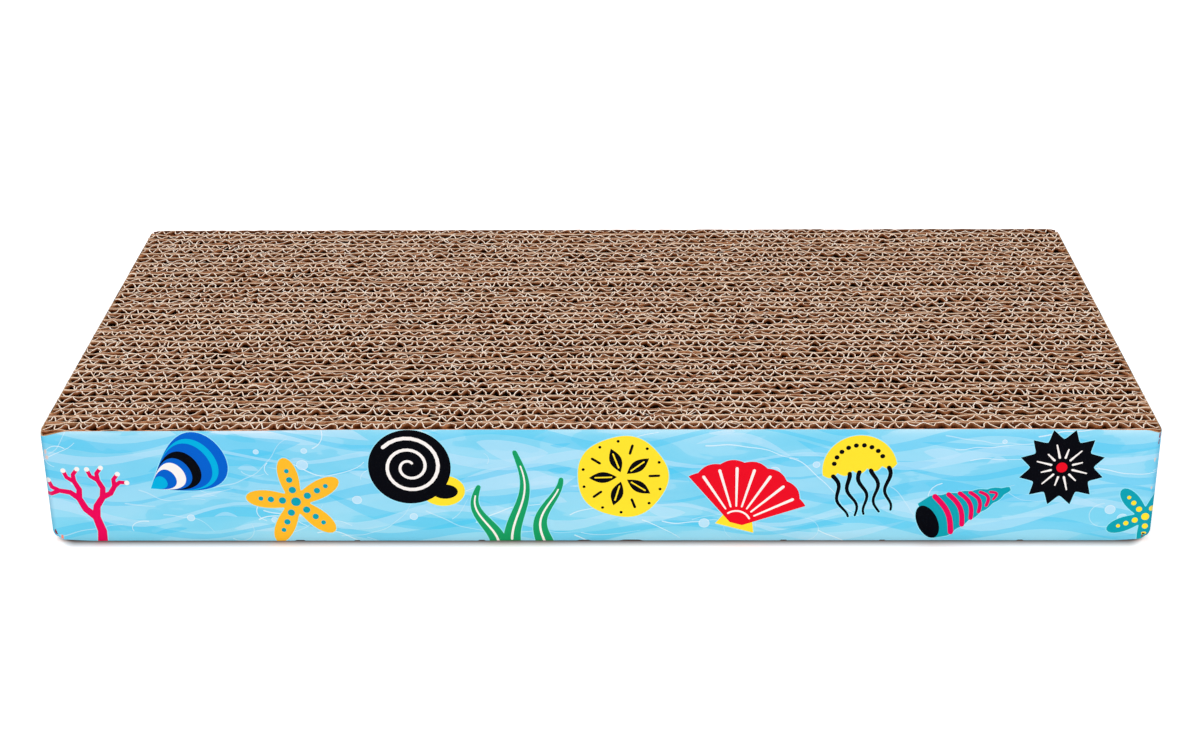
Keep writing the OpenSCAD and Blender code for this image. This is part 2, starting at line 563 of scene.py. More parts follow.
# Heights as shares of the band's: closer together near its lower edge, where the corners are knocked round
BAND_LEVELS = [0, 0.015, 0.03, 0.045, 0.06, 0.08, 0.11, 0.2, 0.35, 0.5, 0.65, 0.8, 0.9, 0.965, 1]
# The saw left the band's top edge this share of its thickness
BAND_EDGE_SHARE = 0.4


def sleeve_board(materials):
    """The kraft band, folded round the core, with a butt joint at the middle of the rear."""
    plan = BandPlan(SLEEVE_GLUE + BOARD / 2)
    stations = walks(plan, BUTT_GAP / 2, plan.length - BUTT_GAP / 2, 4 * MM)
    top_level = len(BAND_LEVELS) - 1
    bm, places = sheet_grid(len(stations) - 1, top_level)
    for (column, level), vert in places.items():
        place, out = plan.at(stations[column])
        low, high = board_edges(place, stations[column])
        if level == top_level:
            place = place + out * BOARD * (1 - BAND_EDGE_SHARE) / 2
        vert.co = crushed(Vector((place.x, place.y, mix(low, high, BAND_LEVELS[level]))))
    bmesh.ops.recalc_face_normals(bm, faces=bm.faces)
    bm.verts.index_update()
    whole = [vert.index for (_, level), vert in places.items() if level < top_level]
    piece = link("sleeve_kraft_band", bm, materials)
    thicken(piece, BOARD, 1, whole, BAND_EDGE_SHARE)
    return piece


# Print: flat shapes in millimetres on the unrolled band, x along it and y up, each an ink with an outline

INKS = {
    "royal": srgb(2, 96, 204),
    "black": srgb(1, 2, 8),
    "cyan": srgb(0, 176, 224),
    "teal": srgb(12, 160, 178),
    "yellow": srgb(254, 226, 48),
    "amber": srgb(250, 188, 44),
    "red": srgb(232, 12, 36),
    "crimson": srgb(230, 4, 88),
    "green": srgb(24, 156, 98),
    "white": srgb(246, 243, 240),
    "bared_pulp": srgb(226, 206, 196),
    "bared_salmon": srgb(240, 142, 120),
    "bared_brown": srgb(134, 52, 40),
    "bared_dark": srgb(58, 22, 20),
    "deep_water": srgb(64, 197, 240, 0.48),
    "pale_water": srgb(188, 228, 250, 0.46),
    "foam": srgb(236, 246, 253, 0.62),
    "faint_foam": srgb(226, 241, 252, 0.36),
    "bubble": srgb(172, 222, 248, 0.7),
    "halo": srgb(150, 228, 248, 0.85),
}
# Spots where the print is rubbed off beside the front folds: ink, left fold or right, distance from the
# fold's end towards the front's middle, height, half width and half height
SCUFFS = [
    ("bared_pulp", -1, -0.1, 40.6, 0.5, 1.2), ("bared_pulp", -1, 0.2, 38.0, 0.55, 1.0),
    ("bared_brown", -1, -0.1, 4.4, 0.5, 1.5), ("bared_salmon", -1, 2.2, 1.9, 0.65, 0.9),
    ("bared_dark", 1, 0.8, 2.6, 0.7, 0.6), ("bared_brown", 1, 1.5, 1.7, 0.5, 0.4),
    ("bared_brown", 1, -0.6, 47.4, 0.35, 1.6), ("bared_brown", 1, -0.5, 44.4, 0.25, 1.3),
    ("bared_pulp", 1, 0.2, 36.5, 0.3, 0.9), ("bared_pulp", 1, 0.3, 24.0, 0.25, 0.7),
]
# Chips out of the paper's lower edge: distance along the paper, half width and height
LOWER_EDGE_CHIPS = [
    (240, 1.5, 0.4), (548, 1.2, 0.3), (571, 0.7, 0.25), (621, 0.8, 0.32), (662, 1.6, 0.3), (681, 2.6, 0.34),
    (742, 0.8, 0.3), (781.5, 0.7, 0.26), (836.5, 0.8, 0.3), (905, 1.1, 0.3), (1180, 1.4, 0.4),
]
# How many patches, currents, foam lines, foam arcs and bubbles the water has
PATCHES = 150
CURRENTS = 6
SCRIBBLES = 130
ARCS = 60
BUBBLES = 60
# How far the halos stand out round the motifs, and how far from the paper's ends the motifs keep
HALO_WIDTH = 0.35
END_MARGIN = 24.0


def polar(radius, points=72, turn=0.0):
    """A closed outline from a radius that depends on the angle in degrees."""
    found = []
    for i in range(points):
        angle = 360 * i / points
        reach, way = radius(angle), radians(angle + turn)
        found.append(Vector((reach * cos(way), reach * sin(way))))
    return found


def disc(x, y, wide, high=None, points=28):
    high = high or wide
    return [Vector((x + wide * p.x, y + high * p.y)) for p in polar(lambda _: 1.0, points)]


def half_turn(centre, start, points=4):
    """Points between start and its opposite, clockwise round a centre."""
    arm = start - centre
    return [centre + Matrix.Rotation(-pi * i / points, 2) @ arm for i in range(1, points)]


def stroke(line, width, tip=1.0):
    """A drawn line as a closed outline with round ends, whose width runs from width to width times tip."""
    left, right = [], []
    last = len(line) - 1
    for i, point in enumerate(line):
        way = (line[min(i + 1, last)] - line[max(i - 1, 0)]).normalized()
        side = Vector((-way.y, way.x)) * width / 2 * mix(1, tip, i / last)
        left.append(point + side)
        right.append(point - side)
    far_end = half_turn(line[-1], left[-1])
    near_end = half_turn(line[0], right[0])
    return left + far_end + right[::-1] + near_end


def petal(start, end, width, points=9):
    """A pointed leaf shape between two points."""
    way = end - start
    side = Vector((-way.y, way.x)).normalized() * width / 2
    left, right = [], []
    for t in steps(points):
        left.append(start + way * t + side * sin(pi * t))
        right.append(start + way * t - side * sin(pi * t))
    return left + right[-2:0:-1]


def turned(way, degrees):
    return Matrix.Rotation(radians(degrees), 2) @ way


ALONG = Vector((1, 0))


# The motifs reach about 1 from their middles

def starfish(body, dots):
    yield body, polar(lambda a: 0.64 + 0.36 * cos(radians(5 * a)), 100, 90)
    for arm in range(5):
        way = turned(ALONG, 90 + 72 * arm)
        for reach, size in ((0.27, 0.075), (0.5, 0.065), (0.7, 0.05)):
            yield dots, disc(*(way * reach), size, points=14)
    yield dots, disc(0, 0, 0.1, points=16)


def scallop(body, ribs, ears):
    hinge = Vector((0, -0.85))

    def fan(angle, reach):
        way = radians(angle)
        return hinge + Vector((sin(way), cos(way))) * reach

    rim = [fan(a, 1.72 + 0.07 * abs(cos(radians(a * 9)))) for a in range(-58, 59, 2)]
    foot = Vector((0.16, 0))
    yield ears, [Vector(p) for p in ((-0.5, -0.98), (0.5, -0.98), (0.32, -0.55), (-0.32, -0.55))]
    yield body, [hinge - foot, *rim, hinge + foot]
    for angle in range(-48, 49, 16):
        yield ribs, stroke([fan(angle, reach) for reach in (0.5, 1.0, 1.55)], 0.045, 1.7)
    yield ribs, stroke([fan(a, 0.36) for a in range(-50, 51, 10)], 0.05)


def sand_dollar(body, petals, spots):
    yield body, polar(lambda a: 1 - 0.02 * cos(radians(5 * a)), 80, 90)
    for number in range(5):
        way = turned(ALONG, 90 + 72 * number)
        gap = turned(way, 36)
        yield petals, petal(way * 0.12, way * 0.74, 0.27)
        yield body, stroke([way * 0.24, way * 0.6], 0.035)
        yield spots, stroke([gap * 0.6, gap * 0.8], 0.06)
        for turn in (-14, 14):
            yield petals, disc(*(turned(way, turn) * 0.88), 0.035, points=10)


def mussel(body, *rings):
    """A mussel shell on its point, with growth rings that all meet there."""
    point = Vector((0, -1))
    outline = [point]
    for a in (tau * i / 60 for i in range(1, 60)):
        outline.append(Vector((1.05 * sin(a) * sin(a / 2) ** 1.3, -cos(a))))
    yield body, outline
    for ring, share in zip(rings, (0.88, 0.8, 0.66, 0.54, 0.46, 0.34, 0.22)):
        yield ring, [point + (p - point) * share for p in outline]


def jellyfish(arms, dome, spots):
    outline = []
    for i in range(41):
        outline.append(Vector((mix(0.82, -0.82, i / 40), 0.12 - 0.1 * abs(sin(pi * i / 8)))))
    for a in (pi * i / 30 for i in range(1, 30)):
        outline.append(Vector((-0.82 * cos(a), 0.12 + 0.84 * sin(a))))
    yield dome, outline
    for i in range(5):
        arm = []
        for t in steps(15):
            x = mix(-0.6, 0.6, i / 4) * (1 - 0.2 * t) + 0.07 * sin(8 * t + 1.7 * i)
            arm.append(Vector((x, 0.06 - 1.05 * t)))
        yield arms, stroke(arm, 0.1, 0.5)
    for a in (pi * i / 10 for i in range(1, 10)):
        yield spots, disc(-0.56 * cos(a), 0.2 + 0.52 * sin(a), 0.055, points=12)


def urchin(body, lines, core):
    yield body, polar(lambda a: 0.74 + 0.26 * (1 - abs((a / 15) % 2 - 1)) ** 1.5, 144)
    yield core, disc(0, 0, 0.13, points=18)
    for number in range(12):
        way = turned(ALONG, 15 + 30 * number)
        yield lines, stroke([way * 0.26, way * mix(0.48, 0.6, number % 2)], 0.055, 0.6)


def coral(body, tips):
    ends = []

    def branch(start, angle, length, width, forks):
        way = Vector((sin(angle), cos(angle)))
        side = Vector((way.y, -way.x)) * 0.05 * (1 if forks % 2 else -1)
        end = start + way * length
        yield body, stroke([start, start + way * length / 2 + side, end], width, 0.78)
        if not forks:
            ends.append(end)
            return
        for turn, share in ((-0.52, 0.8), (0.46, 0.74)):
            yield from branch(end, angle + turn, length * share, width * 0.78, forks - 1)

    yield from branch(Vector((0, -1)), 0.04, 0.62, 0.2, 3)
    for end in ends:
        yield tips, disc(end.x, end.y, 0.05, points=10)


def seaweed(body, vein):
    for foot, height, sway in ((-0.5, 1.25, 1.0), (0.42, 1.4, 2.6), (-0.02, 1.95, 4.3)):
        spine = []
        for t in steps(21):
            spine.append(Vector((foot * (1 + 0.5 * t) + 0.13 * sin(5.4 * t + sway), -1 + height * t)))
        yield body, stroke(spine, 0.34, 0.25)
        yield vein, stroke(spine[2:-3], 0.045, 0.6)


def cone_shell(body, bands, lip):
    upper = [Vector((-0.85, 0.5)), Vector((-0.6, 0.56))]
    for t in steps(30)[1:]:
        scallops = 0.035 * abs(sin(5.5 * pi * t))
        upper.append(Vector((mix(-0.6, 1.25, t), 0.56 * (1 - t) ** 0.85 + scallops + 0.01)))
    lower = [Vector((p.x, -p.y)) for p in upper[::-1]]
    yield body, upper + lower
    yield lip, disc(-0.82, -0.04, 0.24, 0.46, points=30)
    for share in steps(6)[:-1]:
        x, half = mix(-0.42, 1.0, share ** 0.85), 0.52 * (1 - share) ** 0.9
        bow = []
        for t in steps(8):
            bow.append(Vector((x + 0.12 * sin(pi * t), mix(-half, half, t))))
        yield bands, stroke(bow, 0.13 * (1 - 0.6 * share))


def turban_shell(body, line, lip):
    spiral = []
    for t in steps(59):
        reach, turn = 0.1 + 0.6 * t, 1 + 14 * t
        spiral.append(Vector((reach * cos(turn) - 0.06, reach * sin(turn) + 0.08)))
    yield lip, disc(0.62, -0.48, 0.46, 0.36, points=30)
    yield body, disc(-0.06, 0.08, 0.86, points=60)
    yield line, stroke(spiral, 0.055, 1.5)
    yield body, disc(0.66, -0.5, 0.27, 0.17, points=22)


MOTIFS = [
    (scallop, ("red", "white", "yellow")),
    (seaweed, ("green", "white")),
    (mussel, ("royal", "cyan", "royal", "black", "royal", "white", "royal", "cyan")),
    (starfish, ("amber", "teal")),
    (urchin, ("black", "white", "red")),
    (sand_dollar, ("yellow", "black", "black")),
    (coral, ("crimson", "white")),
    (turban_shell, ("black", "white", "yellow")),
    (cone_shell, ("teal", "crimson", "black")),
    (jellyfish, ("black", "yellow", "black")),
    (starfish, ("teal", "yellow")),
]
# On the front, each motif's number, place from the pad's middle, height, size and turn
FRONT_LAYOUT = [
    (6, -203, 19, 21, 8), (2, -164, 33, 17, -58), (3, -121, 18, 20, 12), (7, -74, 32, 19, 0),
    (1, -32, 19, 22, 0), (5, 9, 29, 18, 20), (0, 58, 21, 16, -16), (9, 103, 30, 18, 10),
    (8, 143, 15, 17, 24), (4, 182, 33, 17, 0), (10, 217, 11, 16, 40),
]


def placed(shapes, x, y, size, turn):
    spin = Matrix.Rotation(radians(turn), 2) * size
    return [(ink, [spin @ point + Vector((x, y)) for point in outline]) for ink, outline in shapes]


def anticlockwise(line):
    """The outline in the turning sense that the cut needs to know its inside."""
    doubled = sum(a.x * b.y - b.x * a.y for a, b in zip(line, line[1:] + line[:1]))
    return line if doubled > 0 else line[::-1]


def widened(line, by):
    """The outline moved outwards all round."""
    line = anticlockwise(line)
    out = []
    for before, point, after in zip(line[-1:] + line[:-1], line, line[1:] + line[:1]):
        way = (after - before).normalized()
        out.append(point + Vector((way.y, -way.x)) * by)
    return out


def haloed(motif, body_ink):
    """The motif on a pale halo that stands out round its body."""
    rims = [line for place, (ink, line) in enumerate(motif) if ink == body_ink or place < 2]
    return [("halo", widened(line, HALO_WIDTH)) for line in rims] + motif


def leaf(x, y, half, high, bow, lean):
    """A patch of water with pointed ends on a bowed middle line."""
    upper, lower = [], []
    for t in steps(14):
        middle = Vector((mix(-half, half, t), bow * sin(pi * t) + lean * (t - 0.5)))
        rise = Vector((0, high * sin(pi * t) ** 0.8))
        upper.append(Vector((x, y)) + middle + rise)
        lower.append(Vector((x, y)) + middle - rise * 0.6)
    return upper + lower[-2:0:-1]


def water_patches(rng, start, end, height):
    """Pale and deep patches of water, long and short by turns."""
    for i in range(PATCHES):
        x, y = rng.uniform(start, end), rng.uniform(-2, height + 2)
        half, high = rng.uniform(12, 34), rng.uniform(2, 6.5)
        if i % 2:
            half, high = rng.uniform(4, 13), rng.uniform(0.9, 3.2)
        bow, lean = 0.3 * half * rng.uniform(-1, 1), 0.4 * half * rng.uniform(-1, 1)
        yield "pale_water" if i % 5 < 3 else "deep_water", leaf(x, y, half, high, bow, lean)


def currents(rng, start, end, height):
    """Long ribbons of water, one above the other."""
    for i in range(CURRENTS):
        base = mix(5, height - 4, i / (CURRENTS - 1))
        wave, phase = rng.uniform(66, 104), rng.uniform(0, 9)
        thick, rise = rng.uniform(2.2, 4.0), rng.uniform(2.6, 5.0)
        upper, lower = [], []
        for x in (mix(start - 1, end + 1, t) for t in steps(220)):
            drift = 3 * waver(x / 170, base, 1.2)
            middle = base + rise * sin(x * tau / wave + phase) + drift
            half = thick / 2 * (1 + 0.6 * sin(x / 31 + phase))
            upper.append(Vector((x, middle + half)))
            lower.append(Vector((x, middle - half)))
        yield "pale_water" if i % 3 == 1 else "deep_water", upper + lower[::-1]


def scribble(rng, start, end, height):
    """A thin foam line that wanders a little way along the band."""
    x, y, way = rng.uniform(start, end), rng.uniform(1, height - 1), rng.uniform(-0.6, 0.6)
    seed, line = rng.uniform(0, 99), []
    for step in range(rng.randint(8, 24)):
        line.append(Vector((x, y)))
        way += 0.34 * waver(step * 0.3, seed, 0)
        way = max(-1.1, min(1.1, way))
        x, y = x + 1.7 * cos(way), y + 1.7 * sin(way)
    return stroke(line, rng.uniform(0.32, 0.6), 0.4)


def foam(rng, start, end, height):
    """Foam as wandering lines, then arcs, then bubbles."""
    for i in range(SCRIBBLES):
        yield "faint_foam" if i % 5 < 3 else "foam", scribble(rng, start, end, height)
    for i in range(ARCS):
        x, y, reach = rng.uniform(start, end), rng.uniform(0, height), rng.uniform(2.5, 9)
        first, sweep, flat = rng.uniform(0, 6.3), rng.uniform(1.2, 4.2), rng.uniform(0.5, 1.0)
        arc = []
        for turn in (first + sweep * k / 13 for k in range(14)):
            arc.append(Vector((x + reach * cos(turn), y + flat * reach * sin(turn))))
        yield "foam" if i % 2 else "faint_foam", stroke(arc, rng.uniform(0.3, 0.5), 0.45)
    for _ in range(BUBBLES):
        x, y, wide = rng.uniform(start, end), rng.uniform(2, height - 2), rng.uniform(0.8, 2.6)
        high = wide * 0.94
        yield "foam", disc(x, y, wide, high)
        yield "bubble", disc(x, y, wide - 0.3, high - 0.3)


def back_layout(rng, front, length):
    """Motifs on the sides and the rear, one every 45 mm or so, high and low by turns."""
    found = []
    x = END_MARGIN
    while x < length - END_MARGIN:
        if abs(x - front) > FACING_HIGH.x / MM + 12:
            number = len(found)
            kind, size, turn = number * 3 % len(MOTIFS), rng.uniform(15, 19), rng.uniform(-22, 22)
            y = mix(18, 32, number % 2) + rng.uniform(-2, 2)
            if MOTIFS[kind][0] in (coral, seaweed):
                y, turn = size - 3, turn / 3
            found.append((kind, x, y, size, turn))
        x += rng.uniform(40, 47)
    return found


def sea_life(rng, front, length):
    """The motifs on their halos. What the lap hides is drawn again on the paper's other end, over it."""
    layout = [(kind, front + x, y, size, turn) for kind, x, y, size, turn in FRONT_LAYOUT]
    for kind, x, y, size, turn in layout + back_layout(rng, front, length):
        maker, inks = MOTIFS[kind]
        motif = haloed(placed(maker(*inks), x, y, size, turn), inks[0])
        yield from motif
        if x < LAP / MM + size:
            yield from ((ink, [p + Vector((length, 0)) for p in outline]) for ink, outline in motif)


def scuffs(front, half_front):
    """The rubbed spots, each with a wavering rim."""
    for ink, fold, inwards, height, wide, high in SCUFFS:
        x = front + fold * (half_front - inwards)

        def radius(degrees, x=x):
            return 1 + 0.5 * waver(cos(radians(degrees)) * 2, degrees / 90, x)

        yield ink, [Vector((x + wide * p.x, height + high * p.y)) for p in polar(radius, 20)]


def print_shapes(plan, start, end):
    """All that is printed on the unrolled band from start to end, lowest first, in millimetres."""
    rng = random.Random(61)
    space = (start, end, PAD_HEIGHT / MM)
    half_front = plan.straight_x / 2 / MM
    front = (plan.straight_x / 2 + plan.straight_y + 2 * plan.arc + plan.straight_x / 2) / MM
    yield from water_patches(rng, *space)
    yield from currents(rng, *space)
    yield from foam(rng, *space)
    yield from sea_life(rng, front, plan.length / MM)
    yield from scuffs(front, half_front)


def over(under, ink):
    """One ink laid over what is there already, as premixed red, green and blue with their cover."""
    cover = ink[3]
    mixed = [u * (1 - cover) + c * cover for u, c in zip(under[:3], ink)]
    return (*mixed, under[3] + (1 - under[3]) * cover)


def printed_sheet(plan, start, end, low_edge, high_edge):
    """The unrolled paper as flat triangles, cut along the print's outlines, each with its ink and cover."""
    edge = walks(plan, start, end, 2 * MM)
    for along, wide, _ in LOWER_EDGE_CHIPS:
        edge += [start + (along + wide * i / 4) * MM for i in range(-9, 10)]
    edge = sorted(edge)
    points = [Vector((walk / MM, low_edge(walk) / MM)) for walk in edge]
    points += [Vector((walk / MM, high_edge(walk) / MM)) for walk in edge[::-1]]
    faces, inks, creases = [list(range(len(points)))], [None], []
    for ink, line in print_shapes(plan, start / MM, end / MM):
        faces.append(list(range(len(points), len(points) + len(line))))
        points += anticlockwise(line)
        inks.append(INKS[ink])
    fold_walks = [(first + turn, last + turn) for first, last in plan.folds() for turn in (0, plan.length)]
    for walk in walks(plan, start, end, 5 * MM):
        column = [len(points) + i for i in range(len(BAND_LEVELS) - 2)]
        points += [Vector((walk / MM, share * PAD_HEIGHT / MM)) for share in BAND_LEVELS[1:-1]]
        if any(first - MM < walk < last + MM for first, last in fold_walks):
            creases += list(zip(column, column[1:]))
    flat, _, triangles, _, _, sources = delaunay_2d_cdt(points, creases, faces, 0, 1e-4)
    kept = []
    for triangle, covering in zip(triangles, sources):
        if 0 not in covering:
            continue
        colour = (0.0, 0.0, 0.0, 0.0)
        for source in sorted(covering):
            if source:
                colour = over(colour, inks[source])
        cover = colour[3]
        kept.append((triangle, (*(c / max(cover, 0.001) for c in colour[:3]), cover)))
    return flat, kept


# How rubbed the paper is on a fold and, over that, at the ends of a fold, from 0 to 1
FOLD_WEAR = 0.13
CORNER_WEAR = 0.6


def worn(place, z):
    """How rubbed the paper is at a point of its plan and a height, from 0 to 1."""
    from_fold = from_corner(place)
    at_corner = smooth(1 - from_fold / CORNER_RUB) * smooth(1 - min(z, PAD_HEIGHT - z) / CORNER_RUB)
    return min(1.0, FOLD_WEAR * smooth(1 - from_fold / FOLD_RUB) + CORNER_WEAR * at_corner)


def printed_facing(materials):
    """The printed paper round the band, with its end lapped over its beginning at the rear."""
    plan = BandPlan(SLEEVE_GLUE + BOARD + PASTE + PAPER / 2)
    start, end = -LAP / 2, plan.length + LAP / 2
    chips = [(along * MM, wide * MM, high * MM) for along, wide, high in LOWER_EDGE_CHIPS]

    def low_edge(walk):
        chip = max(smooth(2 - abs(walk - start - along) / wide) * high for along, wide, high in chips)
        return board_edges(plan.at(walk)[0], walk)[0] + PAPER_INSET_BELOW + chip

    def high_edge(walk):
        return board_edges(plan.at(walk)[0], walk)[1] - PAPER_INSET_ABOVE

    flat, triangles = printed_sheet(plan, start, end, low_edge, high_edge)
    bm = bmesh.new()
    ink_layer = bm.loops.layers.float_color.new("ink")
    place_layer = bm.verts.layers.float_vector.new("band_place")
    wear_layer = bm.verts.layers.float.new("wear")
    shade_layer = bm.verts.layers.float.new("fold_shade")
    verts = {}
    for triangle, colour in triangles:
        for number in triangle:
            if number in verts:
                continue
            walk, z = flat[number].x * MM, flat[number].y * MM
            place, out = plan.at(walk)
            climb = (PAPER + PASTE) * smooth(1 - (walk - start - LAP) / LAP_RAMP)
            place = place + out * climb
            vert = bm.verts.new(crushed(Vector((place.x, place.y, z))))
            vert[place_layer] = (walk, z, high_edge(walk) - z)
            vert[wear_layer] = worn(place, z)
            vert[shade_layer] = smooth(1 - from_corner(place) / FOLD_SHADE)
            verts[number] = vert
        face = bm.faces.new([verts[number] for number in triangle])
        for loop in face.loops:
            loop[ink_layer] = colour
    bm.normal_update()
    piece = link("sleeve_printed_paper", bm, materials)
    thicken(piece, PAPER, rim_slot=1)
    return piece


# Glue

GLUE_LINE_HEIGHT = 6 * MM
GLUE_FILM = 0.06 * MM
GLUE_COLUMNS = 120


def glue_lines(materials):
    """The glue films between the strips, which follow the wavering seams."""
    whole = bmesh.new()
    for index in range(1, len(STRIPS)):
        for bottom in (GLUE_LOW.z, GLUE_HIGH.z - GLUE_LINE_HEIGHT):
            bm, places = sheet_grid(GLUE_COLUMNS, 1)
            for (column, level), vert in places.items():
                x = mix(GLUE_LOW.x, GLUE_HIGH.x, column / GLUE_COLUMNS)
                vert.co = (x, boundary(index, x), bottom + level * GLUE_LINE_HEIGHT)
            join_into(whole, bm)
    piece = link("core_glue_lines", whole, materials)
    thicken(piece, GLUE_FILM)
    return piece


# Materials

def add(tree, kind, inputs=None, **settings):
    """A shader node with its settings and inputs: an input is another node's socket or a plain value."""
    made = tree.nodes.new("ShaderNode" + kind)
    for name, value in settings.items():
        setattr(made, name, value)
    for name, value in (inputs or {}).items():
        if isinstance(value, bpy.types.NodeSocket):
            tree.links.new(value, made.inputs[name])
        else:
            made.inputs[name].default_value = value
    return made


def maths(tree, operation, first, second=0.5, third=0.5):
    return add(tree, "Math", {0: first, 1: second, 2: third}, operation=operation).outputs[0]


def rescale(tree, value, low, high, to_low=0.0, to_high=1.0):
    inputs = {"Value": value, "From Min": low, "From Max": high, "To Min": to_low, "To Max": to_high}
    return add(tree, "MapRange", inputs).outputs[0]


def blend(tree, share, under, colour, kind="MIX"):
    """A share of one colour laid over another."""
    return add(tree, "Mix", {0: share, 6: under, 7: colour}, data_type="RGBA", blend_type=kind).outputs[2]


def tint(tree, mask, strength, under, colour):
    """One colour laid over another where a mask shows it."""
    return blend(tree, maths(tree, "MULTIPLY", mask, strength), under, colour)


def clouds(tree, place, scale, detail, **inputs):
    return add(tree, "TexNoise", {"Vector": place, "Scale": scale, "Detail": detail, **inputs}).outputs["Fac"]


def axis(tree, name):
    """One of the object coordinates: X, Y or Z."""
    return add(tree, "SeparateXYZ", {0: add(tree, "TexCoord").outputs["Object"]}).outputs[name]


def held(tree, name):
    """What the mesh itself holds under a name."""
    return add(tree, "Attribute", attribute_name=name).outputs


def effect(name, inputs, outputs):
    """An empty node group of plain numbers, the inputs with their values."""
    tree = bpy.data.node_groups.new(name, "ShaderNodeTree")
    for label, value in inputs.items():
        tree.interface.new_socket(label, in_out="INPUT", socket_type="NodeSocketFloat").default_value = value
    for label in outputs:
        tree.interface.new_socket(label, in_out="OUTPUT", socket_type="NodeSocketFloat")
    return tree, tree.nodes.new("NodeGroupInput").outputs, tree.nodes.new("NodeGroupOutput").inputs


def use(tree, group, **inputs):
    made = add(tree, "Group", node_tree=group)
    for name, value in inputs.items():
        made.inputs[name].default_value = value
    return made.outputs


def paper_fibre():
    """Pulp fibres and flecks: a cloudy Tone, fine Fibres and rare Flecks, each from 0 to 1."""
    tree, given, result = effect("paper_fibre", {"Scale": 900.0}, ("Tone", "Fibres", "Flecks"))
    place = add(tree, "TexCoord").outputs["Object"]
    cloudy = clouds(tree, place, 140.0, 4.0, Roughness=0.6)
    fine = clouds(tree, place, given["Scale"], 3.0, Distortion=0.8)
    speck = add(tree, "TexVoronoi", {"Vector": place, "Scale": given["Scale"]}).outputs["Distance"]
    tree.links.new(rescale(tree, cloudy, 0.3, 0.7), result["Tone"])
    tree.links.new(rescale(tree, fine, 0.32, 0.68), result["Fibres"])
    tree.links.new(rescale(tree, speck, 0.22, 0.1), result["Flecks"])
    return tree


def cell_depth():
    """How deep a point lies below the nearer open face: Near at the cut edge, then Middle and then Deep.

    Near ends at the depth that its input gives, and Middle and Deep are full from theirs on. Depths count for
    less along the front, where more light falls in.
    """
    # Masks for the painted shade that darkens the walls down the cells, where less light reaches
    depths = {"Near": 0.6 * MM, "Middle": 1.0 * MM, "Deep": 1.7 * MM}
    tree, given, result = effect("cell_depth", depths, depths)
    place = add(tree, "TexCoord").outputs["Object"]
    _, y, z = add(tree, "SeparateXYZ", {0: place}).outputs
    depth = maths(tree, "MINIMUM", z, maths(tree, "SUBTRACT", PAD_HEIGHT, z))
    front_light = rescale(tree, y, CORE_LOW.y + 3 * MM, CORE_LOW.y + 26 * MM, 0.55, 1.0)
    depth = maths(tree, "MULTIPLY", depth, front_light)
    ragged = maths(tree, "SUBTRACT", clouds(tree, place, 360.0, 3.0), 0.5)
    depth = maths(tree, "MULTIPLY_ADD", ragged, 2 * MM, depth)
    for name, none, full in (("Near", 1.0, 0.4), ("Middle", 0.3, 1.0), ("Deep", 0.6, 1.0)):
        tree.links.new(rescale(tree, maths(tree, "DIVIDE", depth, given[name]), none, full), result[name])
    return tree


FIBRE = paper_fibre()
DEPTH = cell_depth()


def new_paper(name, specular, grain):
    """A material with its tree and its fibres. Its constant is set on the shader's own socket."""
    material = bpy.data.materials.new(name)
    material.use_nodes = True
    tree = material.node_tree
    tree.nodes["Principled BSDF"].inputs["Specular IOR Level"].default_value = specular
    return material, tree, use(tree, FIBRE, Scale=grain)


def finish(material, colour, rough_where, roughness, raised=None, strength=1.0, height=MM):
    """Gives a material its colour, its roughness from low to high and, if raised is given, its relief."""
    tree = material.node_tree
    shader = tree.nodes["Principled BSDF"].inputs
    tree.links.new(colour, shader["Base Color"])
    tree.links.new(rescale(tree, rough_where, 0, 1, *roughness), shader["Roughness"])
    if raised:
        relief = add(tree, "Bump", {"Height": raised, "Strength": strength, "Distance": height})
        tree.links.new(relief.outputs[0], shader["Normal"])
    return material


def kraft_wall(name, low_tone, high_tone):
    """The brown faces of liners and flutes, with painted shade: chestnut and then nearly black down the
    cells.
    """
    material, tree, fibre = new_paper(name, specular=0.0, grain=1100.0)
    depth = use(tree, DEPTH)
    warm = blend(tree, fibre["Tone"], low_tone, high_tone)
    first_row = rescale(tree, axis(tree, "Y"), CORE_LOW.y + 4.6 * MM, CORE_LOW.y + 3 * MM, 0.0, 0.7)
    warm = tint(tree, first_row, fibre["Tone"], warm, srgb(206, 116, 58))
    grained = tint(tree, fibre["Fibres"], 0.3, warm, srgb(156, 92, 54))
    rubbed = tint(tree, depth["Near"], 0.25, grained, srgb(216, 170, 132))
    # Painted shade down the cells: chestnut at middle depth, then nearly black deep down
    half_shade_tone = blend(tree, fibre["Tone"], srgb(106, 51, 24), srgb(152, 85, 46))
    painted_half_shade = blend(tree, depth["Middle"], rubbed, half_shade_tone)
    painted_deep_shade = blend(tree, depth["Deep"], painted_half_shade, srgb(22, 6, 1))
    return finish(material, painted_deep_shade, fibre["Fibres"], (0.82, 0.96), fibre["Fibres"], 0.35, 0.12 * MM)


def cut_edge(name, low_tone, high_tone):
    """The pale sawn edges of the corrugated papers."""
    material, tree, fibre = new_paper(name, specular=0.1, grain=1500.0)
    tone = blend(tree, fibre["Tone"], low_tone, high_tone)
    grained = tint(tree, fibre["Fibres"], 0.3, tone, srgb(198, 156, 122))
    flecked = tint(tree, fibre["Flecks"], 0.6, grained, srgb(254, 252, 248))
    return finish(material, flecked, fibre["Fibres"], (0.8, 0.95), fibre["Fibres"], 0.5, 0.2 * MM)


